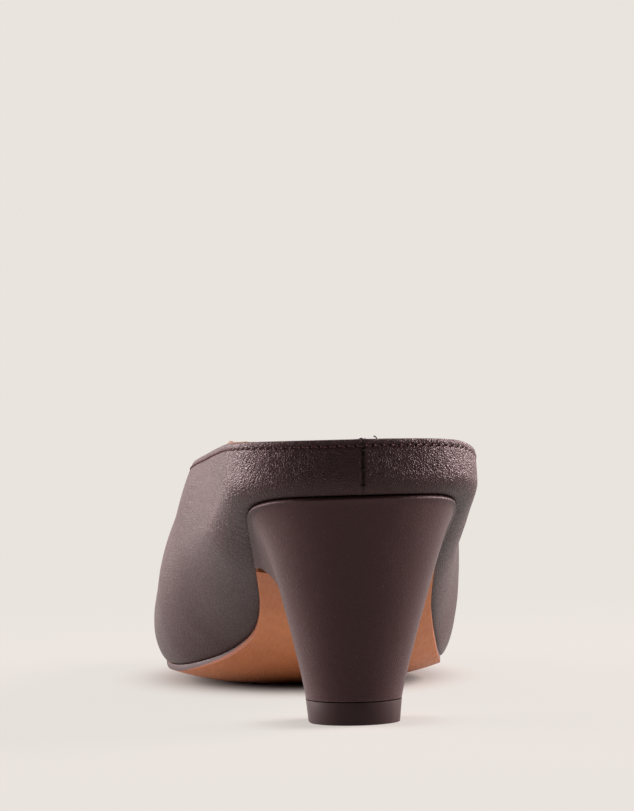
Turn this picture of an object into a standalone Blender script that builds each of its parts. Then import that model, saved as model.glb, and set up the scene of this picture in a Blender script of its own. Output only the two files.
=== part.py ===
# A right low heel shoe: a closed-toe leather mule with a low back on a covered block heel.
# Metres. +X runs to the toe, +Y to the inner (medial) side, +Z up.
# The origin is the centre of the heel lift's resting face, on the floor.
import math

import bmesh
import bpy
from mathutils import Vector

# Overall sizes
SHOE_LENGTH = 0.236  # along the floor, from the back of the seat to the toe, on the feather line
SOLE_WIDTH = 0.0787  # across the ball
WAIST_WIDTH = 0.0499  # across the narrowest part of the arch
SEAT_WIDTH = 0.0570  # across the heel seat
HEEL_HEIGHT = 0.0625  # from the floor to the seat, at the back
TOE_SPRING = 0.009  # how far the toe's feather line rises above the ball's
INSTEP_HEIGHT = 0.054  # from the feather line to the throat
THROAT_ALONG = 0.135  # from the back of the seat to the throat
BACK_HEIGHT = 0.0150  # from the seat to the topline, at the back
TOPLINE_BOW_IN = 0.0026  # how far the topline arches up between the back and the throat
TOPLINE_BOW_OUT = 0.0008  # the same on the outer side
# Upper
UPPER_WALL = 0.0018
LASTING_MARGIN = 0.008  # turned in under the foot
HEEL_BULGE = 0.0025  # how far the counter stands out behind the seat
TOE_BULGE = 0.003  # how far the toe stands out past the sole
TOE_DOME = 0.009  # how far the top of the toe is set back from its front
SECTION_FULLNESS = 2.3  # 2 would make the section above the widest line an ellipse
UNDERCUT_SLACK = 1.45  # how far the section falls inside an ellipse below the widest line
# Sole
SOLE_THICKNESS = 0.003
SOLE_EDGE = 0.0017  # thickness at the rim
SOLE_INSET = 0.0003  # the rim inside the feather line
SOLE_ROUND = 0.0036  # how far the tread's middle hangs below its rim
TREAD_WORN = 0.0005  # cut flat where the ball rests
INSOLE_THICKNESS = 0.002
INSOLE_SEAT = 0.0004  # between the turned-in margin and the insole
# Heel and lift
HEEL_DEPTH = 0.057  # from the back of the seat to the breast, at the top
HEEL_RIM = 0.0010  # rounding of the covered heel's top edge
HEEL_CURVE = 1.1  # 1 would make the heel's sides straight
FLARE_IN = 0.42  # share of the heel's spread that comes in the flare at its top
FLARE_OUT = 0.16
FLARE_SHARPNESS = 12
LIFT_LENGTH = 0.0265
LIFT_WIDTH = 0.0256
LIFT_THICKNESS = 0.0061
LIFT_TAPER = 0.0006  # each side draws in by this towards the floor
LIFT_NARROWING = 0.12  # the share by which it is narrower at the breast
LIFT_SETBACK = 0.0116  # from the back of the seat forward to the back of the lift

GAP = 0.0003  # between pieces that touch

SEAT_BACK_X = -(LIFT_SETBACK + LIFT_LENGTH / 2)
THROAT_SHARE = THROAT_ALONG / SHOE_LENGTH
BREAST_SHARE = HEEL_DEPTH / SHOE_LENGTH
BALL_EDGE = GAP + SOLE_THICKNESS + SOLE_ROUND - TREAD_WORN
HEEL_ROUND_SHARE = 0.150  # the seat's round back, as a share of the length
TOE_ROUND_SHARE = 0.24  # the toe's round front
ROUND_RUN_OUT = 3.0  # how softly a round end runs into the sides; 2 would make it an ellipse
HEEL_SQUARENESS = 2.1
TOE_SQUARENESS = 1.9
TREAD_SQUARENESS = 2.4
EDGE_SQUARENESS = 4

# Sections of the last, from the heel to the toe.
# along: share of the shoe's length.
# unit: the width that the row's side columns follow.
# sole_in, sole_out: the feather line's distance to the inner and outer side.
# wall_in, wall_out: the same for the widest line of the upper.
# rise: feather line, as a share of the heel's rise. spring: as a share of the toe spring.
# widest, crest: heights above the feather line, as shares of the instep height.
# hollow: how far the middle hangs below the rim, as a share of the tread's round.
# swing: sideways place of the crest, as a share of the sole's width.
# dip: how far the outer topline is cut down, as a share of the back height.
COLUMNS = (
    "along unit sole_in sole_out wall_in wall_out"
    " rise spring widest crest hollow swing dip"
)
SECTIONS = [
    (0.000, "seat", 0.505, 0.510, 0.595, 0.604, 1.000, 0.0, 0.100, 0.78, 0.0, 0.000, 0.00),
    (0.042, "seat", 0.507, 0.515, 0.596, 0.606, 0.982, 0.0, 0.105, 0.81, 0.0, 0.000, 0.03),
    (0.090, "seat", 0.506, 0.513, 0.598, 0.610, 0.930, 0.0, 0.115, 0.86, 0.0, 0.000, 0.15),
    (0.170, "seat", 0.450, 0.500, 0.602, 0.624, 0.781, 0.0, 0.160, 0.97, 0.0, 0.000, 0.25),
    (0.242, "seat", 0.395, 0.490, 0.612, 0.638, 0.617, 0.0, 0.230, 1.09, 0.0, 0.000, 0.26),
    (0.340, "waist", 0.380, 0.600, 0.721, 0.755, 0.403, 0.0, 0.360, 1.24, 0.1, -0.006, 0.22),
    (0.410, "waist", 0.372, 0.655, 0.747, 0.800, 0.250, 0.0, 0.455, 1.35, 0.3, -0.013, 0.16),
    (0.462, "waist", 0.430, 0.705, 0.774, 0.845, 0.156, 0.0, 0.490, 1.30, 0.5, -0.017, 0.10),
    (0.508, "ball", 0.332, 0.475, 0.504, 0.558, 0.085, 0.0, 0.480, 1.15, 0.7, -0.019, 0.05),
    (0.572, "ball", 0.415, 0.513, 0.522, 0.582, 0.024, 0.0, 0.410, 1.00, 0.9, -0.019, 0.00),
    (0.627, "ball", 0.457, 0.533, 0.521, 0.594, 0.000, 0.0, 0.280, 0.88, 1.0, -0.013, 0.00),
    (0.678, "ball", 0.471, 0.528, 0.515, 0.586, 0.000, 0.0, 0.200, 0.76, 1.0, -0.006, 0.00),
    (0.763, "ball", 0.452, 0.488, 0.487, 0.532, 0.0, 0.144, 0.167, 0.574, 0.9, 0.006, 0.00),
    (0.847, "ball", 0.423, 0.443, 0.454, 0.479, 0.0, 0.389, 0.152, 0.435, 0.7, 0.019, 0.00),
    (0.932, "ball", 0.391, 0.400, 0.416, 0.428, 0.0, 0.720, 0.141, 0.315, 0.4, 0.038, 0.00),
    (1.000, "ball", 0.362, 0.375, 0.387, 0.401, 0.0, 1.000, 0.130, 0.230, 0.2, 0.051, 0.00),
]
UNITS = {"seat": SEAT_WIDTH, "waist": WAIST_WIDTH, "ball": SOLE_WIDTH}

# Mesh density
HEEL_STATIONS = 7
BREAST_STATIONS = 6
SIDE_STATIONS = 10
VAMP_STATIONS = 15
MARGIN_ROWS = 2
UNDERCUT_ROWS = 5
WALL_ROWS = 7
ACROSS = 8
HEEL_LEVELS = 7

COLORS = {
    "upper": (0.075, 0.050, 0.048, 1.0),
    "insole": (0.30, 0.17, 0.10, 1.0),
    "outsole": (0.42, 0.15, 0.06, 1.0),
    "heel": (0.060, 0.038, 0.036, 1.0),
    "heel_lift": (0.020, 0.014, 0.012, 1.0),
}
ROUGHNESS = {
    "upper": 0.42,
    "insole": 0.55,
    "outsole": 0.45,
    "heel": 0.45,
    "heel_lift": 0.35,
}


def section_table():
    """Each row of SECTIONS in metres, by column name."""
    names = COLUMNS.split()
    rows = []
    for values in SECTIONS:
        row = dict(zip(names, values))
        unit = UNITS[row["unit"]]
        for side in ("sole_in", "sole_out", "wall_in", "wall_out"):
            row[side] *= unit
        heel_rise = (HEEL_HEIGHT - BALL_EDGE) * row["rise"]
        row["feather"] = BALL_EDGE + heel_rise + TOE_SPRING * row["spring"]
        row["widest"] *= INSTEP_HEIGHT
        row["crest"] *= INSTEP_HEIGHT
        row["hollow"] *= SOLE_ROUND
        row["swing"] *= SOLE_WIDTH
        row["dip"] *= BACK_HEIGHT
        rows.append(row)
    return rows


TABLE = section_table()


def slope(rows, i, name):
    """The column's slope at row i, from its neighbours."""
    low = rows[max(i - 1, 0)]
    high = rows[min(i + 1, len(rows) - 1)]
    return (high[name] - low[name]) / (high["along"] - low["along"])


def at(share, name):
    """A smooth curve through one column of the sections."""
    i = 0
    while i < len(TABLE) - 2 and share > TABLE[i + 1]["along"]:
        i += 1
    a, b = TABLE[i], TABLE[i + 1]
    span = b["along"] - a["along"]
    t = (share - a["along"]) / span
    start, end = slope(TABLE, i, name) * span, slope(TABLE, i + 1, name) * span
    return (
        a[name] * (2 * t**3 - 3 * t**2 + 1)
        + start * (t**3 - 2 * t**2 + t)
        + b[name] * (3 * t**2 - 2 * t**3)
        + end * (t**3 - t**2)
    )


def end_round(share):
    """Falls from 1 to 0 at both ends, so that the outline closes round."""
    if share < HEEL_ROUND_SHARE:
        left = 1 - share / HEEL_ROUND_SHARE
        return max(0.0, 1 - left**ROUND_RUN_OUT) ** (1 / HEEL_SQUARENESS)
    if share > 1 - TOE_ROUND_SHARE:
        left = 1 - (1 - share) / TOE_ROUND_SHARE
        return max(0.0, 1 - left**ROUND_RUN_OUT) ** (1 / TOE_SQUARENESS)
    return 1.0


def side_name(kind, side):
    return kind + ("_in" if side > 0 else "_out")


def outline(share, side, kind, back, front):
    """A point of a level line in plan: side is 1 inside the foot and -1 outside."""
    x = SEAT_BACK_X - back + (SHOE_LENGTH + back + front) * share
    swing = at(share, "swing")
    y = swing + (side * at(share, side_name(kind, side)) - swing) * end_round(share)
    return x, y


def feather_point(share, side):
    x, y = outline(share, side, "sole", 0, 0)
    return Vector((x, y, at(share, "feather")))


def inward(share, side, distance):
    """The feather line moved in by a distance, square to its own run in plan."""
    step = 0.002
    low, high = max(share - step, 0), min(share + step, 1)
    a, b = feather_point(low, side), feather_point(high, side)
    run = Vector((b.x - a.x, b.y - a.y, 0))
    if share <= 0 or share >= 1:
        run = Vector((0, side, 0)) if share <= 0 else Vector((0, -side, 0))
    run.normalize()
    normal = Vector((run.y, -run.x, 0)) * side
    return feather_point(share, side) + normal * distance


def sole_share(x):
    return min(max((x - SEAT_BACK_X) / SHOE_LENGTH, 0), 1)


def across_at(x, y):
    """How far out a place is under the foot: 0 in the middle and 1 at the rim."""
    inner = outline(sole_share(x), 1, "sole", 0, 0)[1]
    outer = outline(sole_share(x), -1, "sole", 0, 0)[1]
    if inner <= outer:
        return 1.0
    return min(abs(2 * y - inner - outer) / (inner - outer), 1.0)


def base_height(x, y):
    """The last's bottom, which hangs below its rim in the middle."""
    share = sole_share(x)
    drop = 1 - across_at(x, y) ** TREAD_SQUARENESS
    return at(share, "feather") - at(share, "hollow") * end_round(share) * drop


def topline_height(share, side):
    """The topline runs in a shallow arch from the back to the throat."""
    back = HEEL_HEIGHT + BACK_HEIGHT
    throat = at(THROAT_SHARE, "feather") + at(THROAT_SHARE, "crest")
    run = share / THROAT_SHARE
    bow = TOPLINE_BOW_IN if side > 0 else TOPLINE_BOW_OUT
    dip = 0 if side > 0 else at(share, "dip")
    return back + (throat - back) * run + bow * 4 * run * (1 - run) - dip


def wall_point(share, side, row):
    """A point on the last. Rows run up from the feather line to the topline or the crest."""
    foot = feather_point(share, side)
    wide_x, wide_y = outline(share, side, "wall", HEEL_BULGE, TOE_BULGE)
    wide = Vector((wide_x, wide_y, foot.z + at(share, "widest")))
    if row <= UNDERCUT_ROWS:
        turn = math.radians(90) * row / UNDERCUT_ROWS
        out = math.sin(turn) ** UNDERCUT_SLACK
        up = 1 - math.cos(turn)
        flat = foot.lerp(wide, out)
        return Vector((flat.x, flat.y, foot.z + (wide.z - foot.z) * up))
    crest_x = SEAT_BACK_X + HEEL_BULGE
    crest_x += (SHOE_LENGTH + TOE_BULGE - TOE_DOME - HEEL_BULGE) * share
    crest = Vector((crest_x, at(share, "swing"), foot.z + at(share, "crest")))
    reach = 1.0
    if share < THROAT_SHARE:
        reach = (topline_height(share, side) - wide.z) / (crest.z - wide.z)
    top_turn = math.asin(min(reach, 1.0) ** (SECTION_FULLNESS / 2))
    turn = top_turn * (row - UNDERCUT_ROWS) / WALL_ROWS
    out = math.cos(turn) ** (2 / SECTION_FULLNESS)
    up = math.sin(turn) ** (2 / SECTION_FULLNESS)
    flat = crest.lerp(wide, out)
    return Vector((flat.x, flat.y, wide.z + (crest.z - wide.z) * up))


def eased(count, start, end, ease_start, ease_end):
    """Places from start to end, closer together at the ends that are eased."""
    places = []
    for i in range(count + 1):
        t = i / count
        if ease_start and ease_end:
            t = (1 - math.cos(math.pi * t)) / 2
        elif ease_start:
            t = 1 - math.cos(math.pi / 2 * t)
        elif ease_end:
            t = math.sin(math.pi / 2 * t)
        places.append(start + (end - start) * t)
    return places


def seat_shares():
    round_part = eased(HEEL_STATIONS, 0, HEEL_ROUND_SHARE, True, False)
    rest = eased(BREAST_STATIONS, HEEL_ROUND_SHARE, BREAST_SHARE, False, False)
    return round_part + rest[1:]


def last_shares():
    """Stations along the whole last, close together at the heel, the throat and the toe."""
    side = eased(SIDE_STATIONS, BREAST_SHARE, THROAT_SHARE, False, True)
    vamp = eased(VAMP_STATIONS, THROAT_SHARE, 1, True, True)
    return seat_shares() + side[1:] + vamp[1:]


def make_object(name, mesh_data):
    mesh = bpy.data.meshes.new(name)
    mesh_data.to_mesh(mesh)
    mesh_data.free()
    mesh.shade_smooth()
    mesh.set_sharp_from_angle(angle=math.radians(40))
    obj = bpy.data.objects.new(name, mesh)
    bpy.context.scene.collection.objects.link(obj)
    material = bpy.data.materials.new(name)
    material.use_nodes = True
    shader = material.node_tree.nodes["Principled BSDF"]
    shader.inputs["Base Color"].default_value = COLORS[name]
    shader.inputs["Roughness"].default_value = ROUGHNESS[name]
    mesh.materials.append(material)
    return obj


def add_face(mesh, corners):
    """A face from corners in order, leaving out any that repeat."""
    kept = []
    for corner in corners:
        if corner not in kept:
            kept.append(corner)
    if len(kept) > 2:
        mesh.faces.new(kept)


def make_upper():
    """One sheet over the last, with its margin turned in, given the thickness of the wall."""
    mesh = bmesh.new()
    shares = last_shares()
    rows = list(range(-MARGIN_ROWS, UNDERCUT_ROWS + WALL_ROWS + 1))
    grid = {}
    for i, share in enumerate(shares):
        for side in (1, -1):
            for row in rows:
                at_end = i in (0, len(shares) - 1)
                on_crest = row == rows[-1] and share >= THROAT_SHARE - 1e-9
                if side < 0 and (at_end or on_crest):
                    grid[i, side, row] = grid[i, 1, row]
                    continue
                if row < 0:
                    point = inward(share, side, -LASTING_MARGIN * row / MARGIN_ROWS)
                    point.z = base_height(point.x, point.y)
                else:
                    point = wall_point(share, side, row)
                grid[i, side, row] = mesh.verts.new(point)
    for i in range(len(shares) - 1):
        for row in rows[:-1]:
            for side in (1, -1):
                corners = [
                    grid[i, side, row],
                    grid[i, side, row + 1],
                    grid[i + 1, side, row + 1],
                    grid[i + 1, side, row],
                ]
                add_face(mesh, corners if side > 0 else corners[::-1])
    upper = make_object("upper", mesh)
    wall = upper.modifiers.new("wall", "SOLIDIFY")
    wall.thickness = UPPER_WALL
    wall.offset = -1
    wall.use_even_offset = True
    wall.use_quality_normals = True


def sheet_under_foot(name, shares, inset, top, bottom):
    """A solid sheet that follows the last's bottom between two surfaces."""
    mesh = bmesh.new()
    grids = []
    for height in (top, bottom):
        grid = {}
        for i, share in enumerate(shares):
            inner, outer = inward(share, 1, inset), inward(share, -1, inset)
            for k in range(ACROSS + 1):
                if share >= 1 and k:
                    grid[i, k] = grid[i, 0]
                    continue
                point = inner.lerp(outer, k / ACROSS)
                point.z = height(point.x, point.y)
                grid[i, k] = mesh.verts.new(point)
        grids.append(grid)
    above, below = grids
    last = len(shares) - 1
    for i in range(last):
        for k in range(ACROSS):
            corners = [(i, k), (i, k + 1), (i + 1, k + 1), (i + 1, k)]
            add_face(mesh, [above[c] for c in corners])
            add_face(mesh, [below[c] for c in reversed(corners)])
    rim = [(0, k) for k in range(ACROSS, 0, -1)]
    rim += [(i, 0) for i in range(last)]
    rim += [(last, 0)]
    rim += [(i, ACROSS) for i in range(last - 1, -1, -1)]
    for a, b in zip(rim, rim[1:] + rim[:1]):
        add_face(mesh, [above[a], above[b], below[b], below[a]])
    bmesh.ops.recalc_face_normals(mesh, faces=mesh.faces)
    return make_object(name, mesh)


def sole_top(x, y):
    return base_height(x, y) - GAP


def sole_bottom(x, y):
    thinning = (SOLE_THICKNESS - SOLE_EDGE) * across_at(x, y) ** EDGE_SQUARENESS
    return max(0.0, sole_top(x, y) - SOLE_THICKNESS + thinning)


def insole_bottom(x, y):
    return base_height(x, y) + UPPER_WALL + INSOLE_SEAT


def insole_top(x, y):
    return insole_bottom(x, y) + INSOLE_THICKNESS


def make_outsole():
    first = BREAST_SHARE + GAP / SHOE_LENGTH
    waist = eased(SIDE_STATIONS, first, THROAT_SHARE, False, False)
    tread = eased(VAMP_STATIONS, THROAT_SHARE, 1, False, True)
    sheet_under_foot("outsole", waist + tread[1:], SOLE_INSET, sole_top, sole_bottom)


def make_insole():
    shares = last_shares()
    # the round back's point would be a sliver, so the sheet starts just in front of it
    shares[0] = shares[1] / 4
    sheet_under_foot("insole", shares, UPPER_WALL + GAP, insole_top, insole_bottom)


def lift_outline(inset):
    """The heel's foot in plan, from the inner breast corner round the back to the outer one."""
    half = LIFT_WIDTH / 2 - inset
    length = LIFT_LENGTH - 2 * inset
    back = SEAT_BACK_X + LIFT_SETBACK + inset
    round_part = half / length
    points = {}
    shares = seat_shares()
    for side in (1, -1):
        for i, share in enumerate(shares):
            along = share / BREAST_SHARE
            if along < round_part:
                wide = math.sqrt(max(0.0, 1 - (1 - along / round_part) ** 2))
            else:
                forward = (along - round_part) / (1 - round_part)
                wide = 1 - LIFT_NARROWING * forward**2
            points[side, i] = Vector((back + along * length, side * half * wide, 0))
    return points


def heel_ring(share_up, inset):
    """A level of the heel: 0 at the lift and 1 at the seat."""
    foot = lift_outline(0)
    low = LIFT_THICKNESS + GAP
    ring = {}
    for (side, i), bottom in foot.items():
        share = seat_shares()[i]
        top = inward(share, side, inset)
        top.z = base_height(top.x, top.y) - GAP
        flare = FLARE_IN if side > 0 else FLARE_OUT
        flare *= share / BREAST_SHARE
        spread = (1 - flare) * share_up**HEEL_CURVE + flare * share_up**FLARE_SHARPNESS
        point = bottom.lerp(top, spread)
        point.z = low + (top.z - low) * share_up
        ring[side, i] = point
    return ring


def loft(name, rings):
    """A closed solid through rings of points, the first at the bottom."""
    mesh = bmesh.new()
    last = max(i for _, i in rings[0])
    order = [(1, i) for i in range(last, 0, -1)] + [(1, 0)]
    order += [(-1, i) for i in range(1, last + 1)]
    made = []
    for ring in rings:
        verts = {key: mesh.verts.new(ring[key]) for key in order}
        verts[-1, 0] = verts[1, 0]
        made.append(verts)
    for low, high in zip(made, made[1:]):
        for a, b in zip(order, order[1:] + order[:1]):
            add_face(mesh, [low[a], low[b], high[b], high[a]])
    for verts in (made[0], made[-1]):
        for i in range(last):
            corners = [(1, i), (1, i + 1), (-1, i + 1), (-1, i)]
            add_face(mesh, [verts[c] for c in corners])
    bmesh.ops.recalc_face_normals(mesh, faces=mesh.faces)
    return make_object(name, mesh)


def make_heel():
    rings = [heel_ring(k / HEEL_LEVELS, 0) for k in range(HEEL_LEVELS)]
    for turn in (0, 45, 90):
        drop = HEEL_RIM * (1 - math.sin(math.radians(turn)))
        ring = heel_ring(1, HEEL_RIM * (1 - math.cos(math.radians(turn))))
        for point in ring.values():
            point.z -= drop
        rings.append(ring)
    loft("heel", rings)


def make_lift():
    foot, top = lift_outline(LIFT_TAPER), lift_outline(0)
    for point in top.values():
        point.z = LIFT_THICKNESS
    loft("heel_lift", [foot, top])


for old in list(bpy.data.objects):
    bpy.data.objects.remove(old, do_unlink=True)
make_upper()
make_insole()
make_outsole()
make_heel()
make_lift()
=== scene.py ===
import math

import bmesh
import bpy
from mathutils import Matrix, Vector, noise
from mathutils.bvhtree import BVHTree
from mathutils.kdtree import KDTree


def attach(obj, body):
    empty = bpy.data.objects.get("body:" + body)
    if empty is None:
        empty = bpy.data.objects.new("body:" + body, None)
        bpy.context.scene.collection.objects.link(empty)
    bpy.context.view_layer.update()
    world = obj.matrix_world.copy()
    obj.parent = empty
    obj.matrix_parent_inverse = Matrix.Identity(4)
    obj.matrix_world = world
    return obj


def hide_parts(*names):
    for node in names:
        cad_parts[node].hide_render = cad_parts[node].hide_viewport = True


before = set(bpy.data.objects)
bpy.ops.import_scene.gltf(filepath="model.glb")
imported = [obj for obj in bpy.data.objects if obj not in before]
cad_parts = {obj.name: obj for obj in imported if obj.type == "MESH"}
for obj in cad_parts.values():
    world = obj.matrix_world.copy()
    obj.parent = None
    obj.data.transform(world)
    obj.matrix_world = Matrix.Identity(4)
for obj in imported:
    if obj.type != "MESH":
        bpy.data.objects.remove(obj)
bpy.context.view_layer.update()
print("frame loaded")

# Metres throughout. +X runs to the toe, +Y to the inner side of this right shoe, +Z up.

# The last
lastSizes = {
    "length": 0.236,
    "ball": 0.0787,
    "waist": 0.0499,
    "seat": 0.0570,
    "heelHeight": 0.0625,
    "toeSpring": 0.009,
    "instepHeight": 0.054,
    "throatShare": 0.135 / 0.236,
    "breastShare": 0.057 / 0.236,
    "seatBack": -0.02485,  # x of the seat's back
    "ballEdge": 0.0064,  # the feather line above the floor, at the ball
    "backHeight": 0.0150,
    "bowInner": 0.0026,  # how far the topline arches up on its way to the throat
    "bowOuter": 0.0008,
    "heelBulge": 0.0025,
    "toeBulge": 0.003,
    "toeDome": 0.009,
    "wallFullness": 2.3,
    "undercutSlack": 1.45,  # how far the section falls inside an ellipse under its widest line
    "heelRound": 0.150,  # shares of the length that the round ends take
    "toeRound": 0.24,
    "roundRunOut": 3.0,
    "heelSquare": 2.1,
    "toeSquare": 1.9,
    "treadSquare": 2.4,
    "treadHollow": 0.0036,
}
# Sections from heel to toe: share of the length, the width that the row follows, half widths of the
# feather line and of the widest line inside and outside, rise, spring, height of the widest line and
# of the crest, hollow of the tread, the crest's swing, and the dip of the outer topline
sectionNames = "along unit soleIn soleOut wallIn wallOut rise spring widest crest hollow swing dip".split()
sectionValues = [
    (0.000, "seat", 0.505, 0.510, 0.595, 0.604, 1.000, 0.0, 0.100, 0.78, 0.0, 0.000, 0.00),
    (0.042, "seat", 0.507, 0.515, 0.596, 0.606, 0.982, 0.0, 0.105, 0.81, 0.0, 0.000, 0.03),
    (0.090, "seat", 0.506, 0.513, 0.598, 0.610, 0.930, 0.0, 0.115, 0.86, 0.0, 0.000, 0.15),
    (0.170, "seat", 0.450, 0.500, 0.602, 0.624, 0.781, 0.0, 0.160, 0.97, 0.0, 0.000, 0.25),
    (0.242, "seat", 0.395, 0.490, 0.612, 0.638, 0.617, 0.0, 0.230, 1.09, 0.0, 0.000, 0.26),
    (0.340, "waist", 0.380, 0.600, 0.721, 0.755, 0.403, 0.0, 0.360, 1.24, 0.1, -0.006, 0.22),
    (0.410, "waist", 0.372, 0.655, 0.747, 0.800, 0.250, 0.0, 0.455, 1.35, 0.3, -0.013, 0.16),
    (0.462, "waist", 0.430, 0.705, 0.774, 0.845, 0.156, 0.0, 0.490, 1.30, 0.5, -0.017, 0.10),
    (0.508, "ball", 0.332, 0.475, 0.504, 0.558, 0.085, 0.0, 0.480, 1.15, 0.7, -0.019, 0.05),
    (0.572, "ball", 0.415, 0.513, 0.522, 0.582, 0.024, 0.0, 0.410, 1.00, 0.9, -0.019, 0.00),
    (0.627, "ball", 0.457, 0.533, 0.521, 0.594, 0.000, 0.0, 0.280, 0.88, 1.0, -0.013, 0.00),
    (0.678, "ball", 0.471, 0.528, 0.515, 0.586, 0.000, 0.0, 0.200, 0.76, 1.0, -0.006, 0.00),
    (0.763, "ball", 0.452, 0.488, 0.487, 0.532, 0.0, 0.144, 0.167, 0.574, 0.9, 0.006, 0.00),
    (0.847, "ball", 0.423, 0.443, 0.454, 0.479, 0.0, 0.389, 0.152, 0.435, 0.7, 0.019, 0.00),
    (0.932, "ball", 0.391, 0.400, 0.416, 0.428, 0.0, 0.720, 0.141, 0.315, 0.4, 0.038, 0.00),
    (1.000, "ball", 0.362, 0.375, 0.387, 0.401, 0.0, 1.000, 0.130, 0.230, 0.2, 0.051, 0.00),
]


def sectionRows():
    rows = []
    for values in sectionValues:
        row = dict(zip(sectionNames, values))
        for name in ("soleIn", "soleOut", "wallIn", "wallOut"):
            row[name] *= lastSizes[row["unit"]]
        rise = (lastSizes["heelHeight"] - lastSizes["ballEdge"]) * row["rise"]
        row["feather"] = lastSizes["ballEdge"] + rise + lastSizes["toeSpring"] * row["spring"]
        row["widest"] *= lastSizes["instepHeight"]
        row["crest"] *= lastSizes["instepHeight"]
        row["hollow"] *= lastSizes["treadHollow"]
        row["swing"] *= lastSizes["ball"]
        row["dip"] *= lastSizes["backHeight"]
        rows.append(row)
    return rows


sections = sectionRows()


def columnSlope(i, name):
    low, high = sections[max(i - 1, 0)], sections[min(i + 1, len(sections) - 1)]
    return (high[name] - low[name]) / (high["along"] - low["along"])


def along(share, name):
    # a smooth curve through one column of the sections
    i = 0
    while i < len(sections) - 2 and share > sections[i + 1]["along"]:
        i += 1
    a, b = sections[i], sections[i + 1]
    span = b["along"] - a["along"]
    t = (share - a["along"]) / span
    leave, arrive = columnSlope(i, name) * span, columnSlope(i + 1, name) * span
    ends = a[name] * (2 * t**3 - 3 * t**2 + 1) + b[name] * (3 * t**2 - 2 * t**3)
    return ends + leave * (t**3 - 2 * t**2 + t) + arrive * (t**3 - t**2)


def endRound(share):
    left, power = 0, 1
    if share < lastSizes["heelRound"]:
        left, power = 1 - share / lastSizes["heelRound"], lastSizes["heelSquare"]
    elif share > 1 - lastSizes["toeRound"]:
        left, power = 1 - (1 - share) / lastSizes["toeRound"], lastSizes["toeSquare"]
    return max(0.0, 1 - left ** lastSizes["roundRunOut"]) ** (1 / power)


def planPoint(share, side, line, back, front):
    # side is 1 inside the foot and -1 outside
    x = lastSizes["seatBack"] - back + (lastSizes["length"] + back + front) * share
    swing = along(share, "swing")
    half = along(share, line + ("In" if side > 0 else "Out"))
    return x, swing + (side * half - swing) * endRound(share)


def featherPoint(share, side):
    x, y = planPoint(share, side, "sole", 0, 0)
    return Vector((x, y, along(share, "feather")))


def movedIn(share, side, distance):
    low, high = max(share - 0.002, 0), min(share + 0.002, 1)
    a, b = featherPoint(low, side), featherPoint(high, side)
    run = Vector((b.x - a.x, b.y - a.y, 0))
    if share <= 0 or share >= 1:
        run = Vector((0, side if share <= 0 else -side, 0))
    run.normalize()
    return featherPoint(share, side) + Vector((run.y, -run.x, 0)) * side * distance


def acrossAt(x, y):
    share = min(max((x - lastSizes["seatBack"]) / lastSizes["length"], 0), 1)
    inner = planPoint(share, 1, "sole", 0, 0)[1]
    outer = planPoint(share, -1, "sole", 0, 0)[1]
    if inner <= outer:
        return share, 1.0
    return share, min(abs(2 * y - inner - outer) / (inner - outer), 1.0)


def bottomHeight(x, y):
    share, out = acrossAt(x, y)
    drop = 1 - out ** lastSizes["treadSquare"]
    return along(share, "feather") - along(share, "hollow") * endRound(share) * drop


class LastColumn:
    # one upright curve of the last, from the feather line (0) by the widest line (1) to the top (2)
    def __init__(self, share, side, rimDrop):
        self.foot = featherPoint(share, side)
        x, y = planPoint(share, side, "wall", lastSizes["heelBulge"], lastSizes["toeBulge"])
        self.wide = Vector((x, y, self.foot.z + along(share, "widest")))
        front = lastSizes["length"] + lastSizes["toeBulge"] - lastSizes["toeDome"] - lastSizes["heelBulge"]
        crestX = lastSizes["seatBack"] + lastSizes["heelBulge"] + front * share
        self.crest = Vector((crestX, along(share, "swing"), self.foot.z + along(share, "crest")))
        reach = 1.0
        throat = lastSizes["throatShare"]
        if share < throat:
            run = share / throat
            back = lastSizes["heelHeight"] + lastSizes["backHeight"]
            rise = along(throat, "feather") + along(throat, "crest") - back
            bow = lastSizes["bowInner"] if side > 0 else lastSizes["bowOuter"]
            dip = 0 if side > 0 else along(share, "dip")
            height = back + rise * run + bow * 4 * run * (1 - run) - dip - rimDrop * (1 - run**4)
            reach = (height - self.wide.z) / (self.crest.z - self.wide.z)
        self.topTurn = math.asin(min(reach, 1.0) ** (lastSizes["wallFullness"] / 2))

    def point(self, level):
        if level <= 1:
            out = math.sin(math.pi / 2 * level) ** lastSizes["undercutSlack"]
            up = 1 - math.cos(math.pi / 2 * level)
            flat = self.foot.lerp(self.wide, out)
            return Vector((flat.x, flat.y, self.foot.z + (self.wide.z - self.foot.z) * up))
        power = 2 / lastSizes["wallFullness"]
        turn = self.topTurn * (level - 1)
        out, up = max(0.0, math.cos(turn)) ** power, math.sin(turn) ** power
        flat = self.crest.lerp(self.wide, out)
        return Vector((flat.x, flat.y, self.wide.z + (self.crest.z - self.wide.z) * up))


def roundStations(shareWide, power, degrees):
    # stations of a round end, by the angle round it
    made = []
    for angle in degrees:
        t = math.sin(math.radians(angle))
        made.append(shareWide * (1 - max(0.0, 1 - t**power) ** (1 / lastSizes["roundRunOut"])))
    return made


def easedSteps(count, start, end, ease=None):
    made = []
    for i in range(count + 1):
        t = i / count
        if ease == "start":
            t = 1 - math.cos(math.pi / 2 * t)
        elif ease == "end":
            t = math.sin(math.pi / 2 * t)
        made.append(start + (end - start) * t)
    return made


def shareOf(value, start, run):
    return min(max((value - start) / run, 0.0), 1.0)


def bell(value, width):
    return math.exp(-((value / width) ** 2))


def pairsRound(items):
    return zip(items, items[1:] + items[:1])


def cornersOnce(corners):
    return tuple(dict.fromkeys(corners))


def spotTree(spots):
    tree = KDTree(len(spots))
    for k, spot in enumerate(spots):
        tree.insert(spot, k)
    tree.balance()
    return tree


def intoScene(name, data):
    made = bpy.data.objects.new(name, data)
    bpy.context.scene.collection.objects.link(made)
    return made


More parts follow.
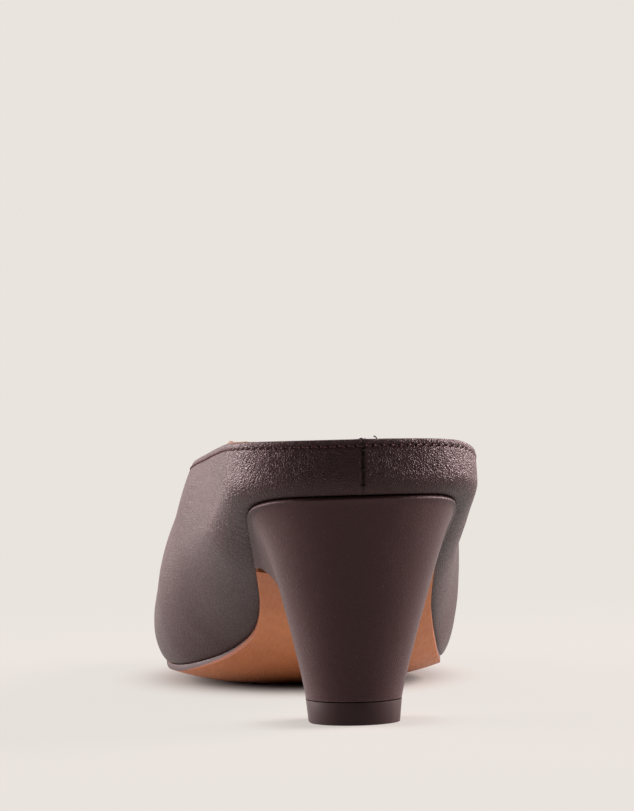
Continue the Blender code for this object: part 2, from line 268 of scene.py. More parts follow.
def meshObject(name, verts, faces, faceMaterials=None):
    mesh = bpy.data.meshes.new(name)
    mesh.from_pydata([tuple(v) for v in verts], [], faces)
    if faceMaterials:
        mesh.polygons.foreach_set("material_index", faceMaterials)
    mesh.shade_smooth()
    mesh.update()
    return intoScene(name, mesh)


def applyModifiers(piece):
    deps = bpy.context.evaluated_depsgraph_get()
    plain = bpy.data.meshes.new_from_object(piece.evaluated_get(deps), depsgraph=deps)
    piece.modifiers.clear()
    piece.data = plain
    plain.shade_smooth()


def roundEdges(piece, weigh, width, segments):
    # rounds each edge by the share of the width that weigh gives it
    mesh = bmesh.new()
    mesh.from_mesh(piece.data)
    bmesh.ops.recalc_face_normals(mesh, faces=mesh.faces)
    weights = mesh.edges.layers.float.new("bevel_weight_edge")
    for edge in mesh.edges:
        edge[weights] = weigh(edge)
    mesh.to_mesh(piece.data)
    mesh.free()
    rounding = piece.modifiers.new("edges", "BEVEL")
    rounding.limit_method = "WEIGHT"
    rounding.width = width
    rounding.segments = segments
    rounding.use_clamp_overlap = True
    applyModifiers(piece)


# Shared material groups
def feed(tree, node, inputs):
    for key, value in inputs.items():
        if isinstance(value, bpy.types.NodeSocket):
            tree.links.new(value, node.inputs[key])
        else:
            node.inputs[key].default_value = value
    return node


def addNode(tree, kind, inputs=None, **settings):
    node = tree.nodes.new(kind)
    for key, value in settings.items():
        setattr(node, key, value)
    return feed(tree, node, inputs or {})


def math2(tree, operation, a, b=0.0):
    return addNode(tree, "ShaderNodeMath", {0: a, 1: b}, operation=operation).outputs[0]


def product(tree, a, b):
    return math2(tree, "MULTIPLY", a, b)


def vectorMath(tree, operation, a, b=None, scale=None):
    given = {key: value for key, value in ((0, a), (1, b), ("Scale", scale)) if value is not None}
    node = addNode(tree, "ShaderNodeVectorMath", given, operation=operation)
    return node.outputs["Value" if operation in ("LENGTH", "DOT_PRODUCT") else "Vector"]


def smoothRange(tree, value, low, high, toLow=0.0, toHigh=1.0):
    inputs = {"Value": value, "From Min": low, "From Max": high, "To Min": toLow, "To Max": toHigh}
    return addNode(tree, "ShaderNodeMapRange", inputs, interpolation_type="SMOOTHSTEP").outputs["Result"]


def noiseFac(tree, place, scale, detail, **more):
    given = {"Vector": place, "Scale": scale, "Detail": detail, **more}
    return addNode(tree, "ShaderNodeTexNoise", given).outputs["Fac"]


def bumpFrom(tree, height, distance, **more):
    given = {"Height": height, "Strength": 1.0, "Distance": distance, **more}
    return addNode(tree, "ShaderNodeBump", given).outputs[0]


def paintedMask(tree, name):
    return addNode(tree, "ShaderNodeAttribute", attribute_name=name).outputs["Fac"]


def newGroup(name, outputs, inputs):
    # every group takes a place; of the other inputs, three numbers are a way and one is a size
    tree = bpy.data.node_groups.new(name, "ShaderNodeTree")
    tree.interface.new_socket(name="Vector", in_out="INPUT", socket_type="NodeSocketVector")
    for label, value in inputs.items():
        kind = "NodeSocketVector" if isinstance(value, tuple) else "NodeSocketFloat"
        tree.interface.new_socket(name=label, in_out="INPUT", socket_type=kind).default_value = value
    for label in outputs:
        tree.interface.new_socket(name=label, in_out="OUTPUT", socket_type="NodeSocketFloat")
    return tree, tree.nodes.new("NodeGroupInput").outputs, tree.nodes.new("NodeGroupOutput").inputs


grainLook = {
    "drift": 0.3,  # the noise that bends the cells: its scale, and its reach in cells
    "driftReach": 2.2,
    "crease": 0.32,
    "pores": 2.1,
    "poreShare": 0.35,
    "patches": 160.0,
    "leastHeight": 0.55,
}


def buildLeatherGrain():
    # small rounded cells with creases between them, and finer pores
    sizes = {"Cell": 0.0004, "Stretch": 1.0, "Length": 1.0}
    tree, start, end = newGroup("leatherGrain", ["Height", "Tone"], sizes)
    squeeze = addNode(tree, "ShaderNodeCombineXYZ", {"X": start["Length"], "Y": 1.0, "Z": start["Stretch"]})
    place = vectorMath(tree, "MULTIPLY", start["Vector"], squeeze.outputs[0])
    fine = math2(tree, "DIVIDE", 1.0, start["Cell"])
    broad = product(tree, fine, grainLook["drift"])
    drift = addNode(tree, "ShaderNodeTexNoise", {"Vector": place, "Scale": broad, "Detail": 2.0})
    centred = vectorMath(tree, "SUBTRACT", drift.outputs["Color"], (0.5, 0.5, 0.5))
    reach = product(tree, start["Cell"], grainLook["driftReach"])
    warped = vectorMath(tree, "ADD", place, vectorMath(tree, "SCALE", centred, scale=reach))
    cells = addNode(tree, "ShaderNodeTexVoronoi", {"Vector": warped, "Scale": fine},
                    feature="DISTANCE_TO_EDGE").outputs["Distance"]
    domes = smoothRange(tree, cells, 0.0, grainLook["crease"])
    pores = noiseFac(tree, warped, product(tree, fine, grainLook["pores"]), 2.0)
    patches = noiseFac(tree, place, grainLook["patches"], 2.0)
    strength = smoothRange(tree, patches, 0.3, 0.7, grainLook["leastHeight"], 1.0)
    height = product(tree, domes, strength)
    height = math2(tree, "ADD", height, product(tree, pores, grainLook["poreShare"]))
    tree.links.new(height, end["Height"])
    tree.links.new(domes, end["Tone"])
    return tree


def buildSoftTone():
    # slow patches of lighter and darker finish
    tree, start, end = newGroup("softTone", ["Tone"], {"Size": 0.02})
    scale = math2(tree, "DIVIDE", 1.0, start["Size"])
    cloud = noiseFac(tree, start["Vector"], scale, 5.0, Roughness=0.62)
    tree.links.new(smoothRange(tree, cloud, 0.28, 0.72), end["Tone"])
    return tree


def buildFolds():
    # fine wrinkles that run one way, apart by about the size given
    tree, start, end = newGroup("fineFolds", ["Height"], {"Way": (1.0, 0.0, 0.0), "Apart": 0.001})
    way = vectorMath(tree, "NORMALIZE", start["Way"])
    run = vectorMath(tree, "DOT_PRODUCT", start["Vector"], way)
    shorten = product(tree, run, -0.84)  # draws the noise out into long lines
    squeezed = vectorMath(tree, "ADD", start["Vector"], vectorMath(tree, "SCALE", way, scale=shorten))
    scale = math2(tree, "DIVIDE", 1.0, start["Apart"])
    lines = noiseFac(tree, squeezed, scale, 1.5, Distortion=0.25)
    tree.links.new(smoothRange(tree, lines, 0.36, 0.62), end["Height"])
    return tree


def buildEdgeRub():
    # where an edge attribute is high, broken up by a fine noise
    tree, start, end = newGroup("edgeRub", ["Mask"], {"Edge": 0.0, "Grit": 0.0012})
    grit = noiseFac(tree, start["Vector"], math2(tree, "DIVIDE", 1.0, start["Grit"]), 3.0)
    broken = math2(tree, "ADD", start["Edge"], math2(tree, "SUBTRACT", grit, 0.5))
    tree.links.new(smoothRange(tree, broken, 0.35, 0.95), end["Mask"])
    return tree


def buildDust():
    # sparse pale specks
    tree, start, end = newGroup("dustSpecks", ["Mask"], {"Speck": 0.0009})
    scale = math2(tree, "DIVIDE", 1.0, start["Speck"])
    specks = addNode(tree, "ShaderNodeTexVoronoi", {"Vector": start["Vector"], "Scale": scale})
    near = smoothRange(tree, specks.outputs["Distance"], 0.16, 0.05)
    chosen = addNode(tree, "ShaderNodeSeparateColor", {"Color": specks.outputs["Color"]}).outputs[0]
    rare = smoothRange(tree, chosen, 0.9, 0.97)
    tree.links.new(product(tree, near, rare), end["Mask"])
    return tree


groups = {
    "grain": buildLeatherGrain(),
    "tone": buildSoftTone(),
    "folds": buildFolds(),
    "rub": buildEdgeRub(),
    "dust": buildDust(),
}


def placeGroup(tree, name, place, **sizes):
    return addNode(tree, "ShaderNodeGroup", {"Vector": place, **sizes}, node_tree=groups[name]).outputs


def mixColor(tree, factor, a, b):
    a, b = ((*color, 1.0) if isinstance(color, tuple) else color for color in (a, b))
    return addNode(tree, "ShaderNodeMix", {0: factor, 6: a, 7: b}, data_type="RGBA").outputs[2]


def layColor(tree, color, mask, share, over):
    return mixColor(tree, product(tree, mask, share), color, over)


def newMaterial(name):
    material = bpy.data.materials.new(name)
    material.use_nodes = True
    tree = material.node_tree
    place = addNode(tree, "ShaderNodeTexCoord").outputs["Object"]
    return material, tree, tree.nodes["Principled BSDF"], place


# what a leather's finish takes where it says nothing else
leatherBasis = {
    "hollowShadeShare": 0.3, "stretch": 1.0, "length": 1.0, "patch": 0.03, "dust": 0.1, "sheen": 0.1,
    "sheenTint": (1.0, 0.9, 0.8), "fade": False, "wrinkles": {},
}
leatherTint = (1.0, 0.79, 0.80, 1.0)
# colour of the painted shade along the back seam's groove
seamShadeColor = (0.004, 0.002, 0.002)
dustLook = {"leather": (0.0011, (0.55, 0.52, 0.48)), "plain": (0.0013, (0.5, 0.47, 0.43))}


def makeLeather(name, finish):
    # finish: colours, roughness, gloss, grain cell and depth, rub and dust
    material, tree, shader, place = newMaterial(name)
    grain = placeGroup(tree, "grain", place, Cell=finish["cell"], Stretch=finish["stretch"],
                       Length=finish["length"])
    tone = placeGroup(tree, "tone", place, Size=finish["patch"])["Tone"]
    hollow = math2(tree, "SUBTRACT", 1.0, grain["Tone"])
    rub = placeGroup(tree, "rub", place, Edge=paintedMask(tree, "edge"))["Mask"]
    speck, dustColor = dustLook["leather"]
    dust = placeGroup(tree, "dust", place, Speck=speck)["Mask"]
    color = mixColor(tree, tone, finish["dark"], finish["light"])
    # painted shade in the grain's hollows: the colour darkens in the creases between the cells
    color = layColor(tree, color, hollow, finish["hollowShadeShare"], finish["hollowShade"])
    color = layColor(tree, color, rub, finish["rub"], finish["rubbed"])
    color = layColor(tree, color, dust, finish["dust"], dustColor)
    height = grain["Height"]
    # where fade is set, a line of painted shade darkens the back seam's groove and the grain's relief fades
    # to the toe
    if finish["fade"]:
        color = mixColor(tree, paintedMask(tree, "seamShadeMask"), color, seamShadeColor)
        height = product(tree, height, paintedMask(tree, "grainy"))
    for mask, look in finish["wrinkles"].items():
        folds = placeGroup(tree, "folds", place, Way=look["way"], Apart=look["apart"])
        raised = product(tree, folds["Height"], paintedMask(tree, mask))
        height = math2(tree, "ADD", height, product(tree, raised, look["share"]))
    rough = smoothRange(tree, tone, 0.0, 1.0, *finish["roughness"])
    soft = bumpFrom(tree, noiseFac(tree, place, 230.0, 2.0), finish["swell"])
    feed(tree, shader, {
        "Base Color": color,
        "Roughness": math2(tree, "ADD", rough, product(tree, hollow, 0.12)),
        "Specular IOR Level": finish["gloss"],
        "Specular Tint": leatherTint,
        "Sheen Weight": finish["sheen"],
        "Sheen Roughness": 0.45,
        "Sheen Tint": (*finish["sheenTint"], 1.0),
        "Normal": bumpFrom(tree, height, finish["depth"], Normal=soft),
    })
    return material


leatherFinishes = {
    "upperNappa": {
        "dark": (0.026, 0.0100, 0.0106), "light": (0.036, 0.0145, 0.0150), "hollowShade": (0.010, 0.004, 0.004),
        "hollowShadeShare": 0.5, "cell": 0.00068, "length": 0.45, "fade": True, "rub": 0.3,
        "rubbed": (0.10, 0.07, 0.066), "dust": 0.2, "roughness": (0.35, 0.42), "gloss": 0.32,
        "sheen": 0.02, "sheenTint": (0.95, 0.82, 0.84), "swell": 0.00008, "depth": 0.00015,
        "wrinkles": {
            "innerFolds": {"way": (-0.62, -0.25, 0.62), "apart": 0.0009, "share": 1.1},
            "outerFolds": {"way": (-0.10, 0.35, 0.92), "apart": 0.0009, "share": 0.5},
            "seatFolds": {"way": (-0.5, -0.5, -0.7), "apart": 0.0013, "share": 1.3},
        },
    },
    "heelNappa": {
        "dark": (0.036, 0.0145, 0.0150), "light": (0.044, 0.0185, 0.019), "hollowShade": (0.015, 0.006, 0.006),
        "hollowShadeShare": 0.35, "cell": 0.00045, "stretch": 0.6, "rub": 0.4,
        "rubbed": (0.09, 0.062, 0.058), "dust": 0.15, "roughness": (0.34, 0.40), "gloss": 0.28,
        "sheen": 0.02, "sheenTint": (0.95, 0.82, 0.84), "swell": 0.00004, "depth": 0.000038,
    },
    "liningCalf": {
        "dark": (0.20, 0.115, 0.070), "light": (0.26, 0.155, 0.098), "hollowShade": (0.13, 0.07, 0.04),
        "cell": 0.0005, "patch": 0.02, "rub": 1.0, "rubbed": (0.10, 0.085, 0.072),
        "roughness": (0.55, 0.66), "gloss": 0.3, "swell": 0.00004, "depth": 0.000022,
    },
    "insoleCalf": {
        "dark": (0.25, 0.145, 0.085), "light": (0.32, 0.19, 0.118), "hollowShade": (0.16, 0.09, 0.05),
        "cell": 0.0006, "rub": 0.35, "rubbed": (0.14, 0.075, 0.045),
        "roughness": (0.5, 0.62), "gloss": 0.32, "swell": 0.00005, "depth": 0.000026,
    },
}
materials = {name: makeLeather(name, {**leatherBasis, **finish}) for name, finish in leatherFinishes.items()}

soleFinish = {
    "pale": (0.50, 0.158, 0.048),
    "warm": (0.40, 0.112, 0.028),
    "scuff": (0.28, 0.080, 0.026),
    "edge": (0.050, 0.031, 0.030),
    # the bare rim's own tan leather, made darker than the underside's tan as painted shade
    "rim": (0.19, 0.056, 0.016),
}


def makeSoleLeather():
    # buffed grain, with faint long brush marks and small darker fibres
    material, tree, shader, place = newMaterial("soleTan")
    tone = placeGroup(tree, "tone", place, Size=0.035)["Tone"]
    fineTone = placeGroup(tree, "tone", place, Size=0.0035)["Tone"]
    brushed = addNode(tree, "ShaderNodeMapping", {"Vector": place, "Scale": (0.12, 1.0, 0.3)}).outputs[0]
    marks = noiseFac(tree, brushed, 1500.0, 3.0)
    fibres = smoothRange(tree, marks, 0.60, 0.74)
    rub = placeGroup(tree, "rub", place, Edge=paintedMask(tree, "edge"))["Mask"]
    color = mixColor(tree, tone, soleFinish["warm"], soleFinish["pale"])
    for mask, share, over in ((fineTone, 0.22, "scuff"), (fibres, 0.16, "scuff"), (rub, 0.75, "edge")):
        color = layColor(tree, color, mask, share, soleFinish[over])
    feed(tree, shader, {
        "Base Color": color,
        "Roughness": smoothRange(tree, marks, 0.3, 0.7, 0.42, 0.56),
        "Specular IOR Level": 0.35,
        "Normal": bumpFrom(tree, marks, 0.000012),
    })
    return material


# dark and light colour, roughness from and to, gloss, size of the patches, scale and depth of the
# fine relief, and how it is drawn out
plainNames = "dark light roughness gloss patch fine depth brush".split()
threadFine = (0.0006, 9000.0, 0.00003, (1.0, 1.0, 1.0))
plainFinishes = {
    "soleEdge": ((0.028, 0.015, 0.015), (0.048, 0.029, 0.028), (0.46, 0.58), 0.25,
                 0.004, 1800.0, 0.00002, (0.3, 1.0, 1.0)),
    "liftRubber": ((0.026, 0.012, 0.012), (0.034, 0.016, 0.016), (0.44, 0.52), 0.2,
                   0.006, 2400.0, 0.000008, (1.0, 1.0, 0.15)),
    "thread": ((0.055, 0.017, 0.016), (0.095, 0.032, 0.030), (0.5, 0.62), 0.35, *threadFine),
    "darkThread": ((0.012, 0.006, 0.006), (0.024, 0.012, 0.012), (0.6, 0.7), 0.2, *threadFine),
    # near-black, the painted shade in the needle holes
    "needleHoleShade": ((0.006, 0.004, 0.004), (0.012, 0.008, 0.008), (0.7, 0.8), 0.1,
                0.0006, 9000.0, 0.00001, (1.0, 1.0, 1.0)),
}


def makePlainFinish(name, values):
    finish = dict(zip(plainNames, values))
    material, tree, shader, place = newMaterial(name)
    run = addNode(tree, "ShaderNodeMapping", {"Vector": place, "Scale": finish["brush"]}).outputs[0]
    tone = placeGroup(tree, "tone", run, Size=finish["patch"])["Tone"]
    speck, dustColor = dustLook["plain"]
    dust = placeGroup(tree, "dust", place, Speck=speck)["Mask"]
    color = mixColor(tree, tone, finish["dark"], finish["light"])
    feed(tree, shader, {
        "Base Color": layColor(tree, color, dust, 0.2, dustColor),
        "Roughness": smoothRange(tree, tone, 0.0, 1.0, *finish["roughness"]),
        "Specular IOR Level": finish["gloss"],
        "Normal": bumpFrom(tree, noiseFac(tree, run, finish["fine"], 3.0), finish["depth"]),
    })
    return material


def bareRim(material):
    # the rim's dark paint ends short of the sole's underside at the waist
    tree = material.node_tree
    socket = tree.nodes["Principled BSDF"].inputs["Base Color"]
    paint = socket.links[0].from_socket
    # where bare, the rim takes the darker tan, partly painted shade
    bare = smoothRange(tree, paintedMask(tree, "bare"), 0.15, 0.40)
    tree.links.new(mixColor(tree, bare, paint, soleFinish["rim"]), socket)


materials["soleTan"] = makeSoleLeather()
for name, values in plainFinishes.items():
    materials[name] = makePlainFinish(name, values)
bareRim(materials["soleEdge"])
print("materials made")

# Upper
upperLook = {
    "rimDrop": 0.0007,  # the folded rim stands this far above the sheet's top
    "leather": 0.00115,  # the outer leather's thickness
    "wall": 0.0018,  # with the lining
    "margin": 0.008,
    "rimSteps": 6,
    "seamDepth": 0.00060,
    "seamWidth": 0.00032,
    "seamPuff": 0.00010,
    "channelDown": 0.00120,  # the stitch row below the topline
    "channelDepth": 0.00020,
    "channelWidth": 0.00042,
    "seamFrom": -0.015,  # the seam lies behind this x
    "seamBelow": 0.0014,  # and deepens over this distance from the rim
    "seamShadeWidth": 0.00028,
    "puffAt": 0.0011,
    "puffWidth": 0.0006,
    "creaseReach": 0.012,
    "rimCalm": 0.002,  # creases and swell fade out this near to the rim
    "soleCalm": 0.004,  # and this near to the sole
    "swellSize": 0.016,
    "swellFine": 0.006,
    "swellHeight": 0.00012,
    "grainFrom": 0.015,  # the grain's relief fades from here to the toe
    "grainRun": 0.07,
    "grainLoss": 0.7,
    "rubReach": 0.0014,
    "rubMost": 0.75,
    "liningRubReach": 0.0024,
    "liningGap": 0.00003,
    "liningRagged": 0.00022,
    "liningProud": 0.0008,  # how far the lining's raw edge stands up on the inner side
    "proudAt": 0.006,
    "proudReach": 0.019,
}
# Creases on the leather: side (1 is inner), from and to as (share of the length, level up the last),
# width and height in metres, where a height below 0 is a trough
creases = [
    (1, (0.300, 1.95), (0.420, 1.25), 0.0055, -0.00045),
    (1, (0.345, 1.90), (0.470, 1.30), 0.0050, 0.00040),
    (1, (0.160, 1.88), (0.215, 1.45), 0.0040, -0.00022),
    (-1, (0.110, 1.95), (0.135, 1.30), 0.0035, -0.00020),
    (-1, (0.150, 1.93), (0.170, 1.20), 0.0040, 0.00018),
    (1, (0.600, 1.60), (0.640, 2.00), 0.0050, -0.00025),
    (-1, (0.600, 1.55), (0.640, 2.00), 0.0050, -0.00028),
    (-1, (0.655, 1.45), (0.680, 2.00), 0.0045, -0.00022),
    (1, (0.660, 1.50), (0.685, 2.00), 0.0045, -0.00020),
]
# Where the fine wrinkles lie: centre and reach in metres
foldPlaces = {
    "innerFolds": {"at": (0.006, 0.030, 0.071), "reach": (0.022, 0.014, 0.009)},
    "outerFolds": {"at": (-0.009, -0.031, 0.071), "reach": (0.014, 0.008, 0.008)},
    "seatFolds": {"at": (0.020, 0.034, 0.052), "reach": (0.030, 0.014, 0.014)},
}

# the upper's rows just under the rim, in metres down from it
rimDepths = [0, 0.0003, 0.0006, 0.0009, 0.00115, 0.0014, 0.00165, 0.0019, 0.0023, 0.0029, 0.0037, 0.0047]
vampSteps = 24


def upperStations():
    back = [0, 0.3, 0.6, 0.9, 1.3, 1.9, 2.8, 4.2, 6.0, 8.5] + [11.5 + 3.925 * k for k in range(21)]
    shares = roundStations(lastSizes["heelRound"], lastSizes["heelSquare"], back)
    throat, toe = lastSizes["throatShare"], 1 - lastSizes["toeRound"]
    shares += easedSteps(58, lastSizes["heelRound"], throat, "end")[1:]
    shares += easedSteps(vampSteps, throat, toe, "start")[1:]
    front = roundStations(lastSizes["toeRound"], lastSizes["toeSquare"], [90 - 3.75 * k for k in range(25)])
    return shares + [1 - s for s in front][1:], len(shares) - vampSteps - 1


def columnLevels(column):
    # levels of the wall by their distance down from the top, close together at the rim
    count = 36
    path = [column.point(1 + k / count) for k in range(count + 1)]
    down = [0.0]
    for k in range(count, 0, -1):
        down.append(down[-1] + (path[k] - path[k - 1]).length)
    total = down[-1]
    close = rimDepths[-1]
    wanted = rimDepths + [close + (total - close) * k / 24 for k in range(1, 24)]
    levels = []
    for want in wanted:
        k = 0
        while k < count - 1 and down[k + 1] < want:
            k += 1
        part = (want - down[k]) / max(down[k + 1] - down[k], 1e-9)
        levels.append(2 - (k + part) / count)
    return levels[::-1]


def buildLastGrid():
    shares, throatIndex = upperStations()
    shares[throatIndex] = lastSizes["throatShare"]
    marginRows, undercutRows = 4, 15
    points, index = [], {}
    for i, share in enumerate(shares):
        for side in (1, -1):
            column = LastColumn(share, side, upperLook["rimDrop"])
            levels = columnLevels(column)
            rows = marginRows + undercutRows + 1 + len(levels)
            for row in range(rows):
                atEnd = i in (0, len(shares) - 1)
                onCrest = row == rows - 1 and i >= throatIndex
                if side < 0 and (atEnd or onCrest):
                    index[i, side, row] = index[i, 1, row]
                    continue
                if row < marginRows:
                    spot = movedIn(share, side, upperLook["margin"] * (marginRows - row) / marginRows)
                    spot.z = bottomHeight(spot.x, spot.y)
                elif row <= marginRows + undercutRows:
                    spot = column.point((row - marginRows) / undercutRows)
                else:
                    spot = column.point(levels[row - marginRows - undercutRows - 1])
                index[i, side, row] = len(points)
                points.append(spot)
    faces = []
    for i in range(len(shares) - 1):
        for row in range(rows - 1):
            for side in (1, -1):
                corners = [index[i, side, row], index[i, side, row + 1],
                           index[i + 1, side, row + 1], index[i + 1, side, row]]
                kept = cornersOnce(corners)
                if len(kept) > 2:
                    faces.append(kept if side > 0 else kept[::-1])
    rim = [index[i, 1, rows - 1] for i in range(throatIndex, -1, -1)]
    rim += [index[i, -1, rows - 1] for i in range(1, throatIndex)]
    last = len(shares) - 1
    foot = [index[i, 1, 0] for i in range(last + 1)] + [index[i, -1, 0] for i in range(last - 1, 0, -1)]
    return {"points": points, "faces": faces, "rim": rim, "foot": foot}


def sheetMesh(points, faces):
    mesh = bmesh.new()
    verts = [mesh.verts.new(p) for p in points]
    for face in faces:
        mesh.faces.new([verts[k] for k in face])
    return mesh, verts


def sheetNormals(points, faces):
    mesh, verts = sheetMesh(points, faces)
    mesh.normal_update()
    normals = [v.normal.copy() for v in verts]
    mesh.free()
    return normals


def loopFrames(points, normals, loop):
    # outward, and on past the sheet's edge, at each point of the rim
    frames = []
    for k, spot in enumerate(loop):
        run = (points[loop[(k + 1) % len(loop)]] - points[loop[k - 1]]).normalized()
        past = normals[spot].cross(run).normalized()
        frames.append((run.cross(past).normalized(), past))
    return frames


def creaseSamples():
    # places along the creases, with the crease's width and its height there
    made = []
    for side, start, end, width, height in creases:
        for k in range(41):
            t = k / 40
            column = LastColumn(start[0] + (end[0] - start[0]) * t, side, 0)
            fade = math.sin(math.pi * t) ** 0.7
            made.append((column.point(start[1] + (end[1] - start[1]) * t), width, height * fade))
    return made


def dressGrid(grid):
    # moves the sheet's points out and in for seam, stitch channel, creases and slow swell
    look = upperLook
    normals = sheetNormals(grid["points"], grid["faces"])
    ring = [grid["points"][k] for k in grid["rim"]]
    rimTree = spotTree([a.lerp(b, part / 4) for a, b in pairsRound(ring) for part in range(4)])
    samples = creaseSamples()
    creaseTree = spotTree([place for place, _, _ in samples])
    moved = []
    for spot, normal in zip(grid["points"], normals):
        down = rimTree.find(spot)[2]
        near = {}
        for _, k, distance in creaseTree.find_range(spot, look["creaseReach"]):
            _, width, height = samples[k]
            push = height * bell(distance, width)
            key = (round(width, 6), height > 0)
            if abs(push) > abs(near.get(key, 0.0)):
                near[key] = push
        swell = noise.noise(spot / look["swellSize"]) + 0.4 * noise.noise(spot / look["swellFine"])
        shift = (sum(near.values()) + look["swellHeight"] * swell) * (1 - bell(down, look["rimCalm"]))
        shift -= look["channelDepth"] * bell(down - look["channelDown"], look["channelWidth"])
        if spot.x < look["seamFrom"]:
            seam = abs(spot.y)
            shift -= look["seamDepth"] * bell(seam, look["seamWidth"]) * (1 - bell(down, look["seamBelow"]))
            shift += look["seamPuff"] * bell(seam - look["puffAt"], look["puffWidth"])
        upFromSole = spot.z - along(acrossAt(spot.x, spot.y)[0], "feather")
        moved.append(spot + normal * shift * shareOf(upFromSole, 0, look["soleCalm"]))
    grid["dressed"] = moved
    grid["normals"] = sheetNormals(moved, grid["faces"])


def shellPiece(name, grid, outDepth, inDepth, rimSteps, ragged, standing):
    # a closed sheet between two depths under the dressed surface, its rim rounded or cut square
    points, normals, rim = grid["dressed"], grid["normals"], grid["rim"]
    count = len(points)
    flatNormals = sheetNormals(grid["points"], grid["faces"])
    verts = [p - n * outDepth for p, n in zip(points, normals)]
    verts += [plain - n * inDepth for plain, n in zip(grid["points"], flatNormals)]
    faces = list(grid["faces"])
    faces += [tuple(k + count for k in reversed(face)) for face in grid["faces"]]
    arcs = []
    for spot, (_, past) in zip(rim, loopFrames(points, normals, rim)):
        a, b = verts[spot], verts[spot + count]
        centre, half = (a + b) / 2, (a - b) / 2
        rough = ragged * (0.6 + noise.noise(a * 900) + 0.5 * noise.noise(a * 2300))
        if a.y > 0:
            proud = standing * bell(a.x - upperLook["proudAt"], upperLook["proudReach"])
            rough += proud * (1 + noise.noise(a * 1500))
        arc = [spot]
        for step in range(1, rimSteps):
            turn = math.pi * step / rimSteps
            arc.append(len(verts))
            verts.append(centre + half * math.cos(turn) + past * (half.length * math.sin(turn) + rough))
        arcs.append(arc + [spot + count])
    for arc, after in pairsRound(arcs):
        for step in range(rimSteps):
            faces.append((arc[step], after[step], after[step + 1], arc[step + 1]))
    for spot, after in pairsRound(grid["foot"]):
        faces.append((spot, after, after + count, spot + count))
    return meshObject(name, verts, faces)


def paintValue(piece, name, rule):
    layer = piece.data.attributes.new(name, "FLOAT", "POINT")
    layer.data.foreach_set("value", [rule(v.co) for v in piece.data.vertices])


# painted shade: dark in a narrow band either side of the back seam, behind seamFrom
def paintedSeamShade(p):
    return bell(p.y, upperLook["seamShadeWidth"]) if p.x <= upperLook["seamFrom"] else 0.0


def grainLeft(p):
    return 1 - upperLook["grainLoss"] * shareOf(p.x, upperLook["grainFrom"], upperLook["grainRun"])


def rimRub(p, reach):
    return max(0.0, 1 - rimSpots.find(p)[2] / reach)


def foldRule(place):
    def rule(p):
        away = sum(((p[k] - place["at"][k]) / place["reach"][k]) ** 2 for k in range(3))
        return math.exp(-away)

    return rule


lastGrid = buildLastGrid()
dressGrid(lastGrid)
upper = shellPiece("upperLeather", lastGrid, 0.0, upperLook["leather"], upperLook["rimSteps"], 0.0, 0.0)
lining = shellPiece("upperLining", lastGrid, upperLook["leather"] + upperLook["liningGap"], upperLook["wall"],
                    3, upperLook["liningRagged"], upperLook["liningProud"])
upper.data.materials.append(materials["upperNappa"])
lining.data.materials.append(materials["liningCalf"])
rimSpots = spotTree([lastGrid["dressed"][k] for k in lastGrid["rim"]])
paintValue(upper, "edge", lambda p: rimRub(p, upperLook["rubReach"]) * upperLook["rubMost"])
paintValue(lining, "edge", lambda p: rimRub(p, upperLook["liningRubReach"]))
for name, place in foldPlaces.items():
    paintValue(upper, name, foldRule(place))
paintValue(upper, "seamShadeMask", paintedSeamShade)
paintValue(upper, "grainy", grainLeft)
print("upper and lining made", len(upper.data.polygons), len(lining.data.polygons))

# Topline stitches
stitchLook = {
    "Spacing": 0.0024,
    "Length": 0.00165,
    "Thread": 0.00050,
    "Rise": 0.00026,
    "Sink": 0.00022,
    "Slant": 0.18,
    "Hole": 0.00105,
}
stitchMaterials = {"Thread material": "thread", "Hole shade material": "needleHoleShade"}


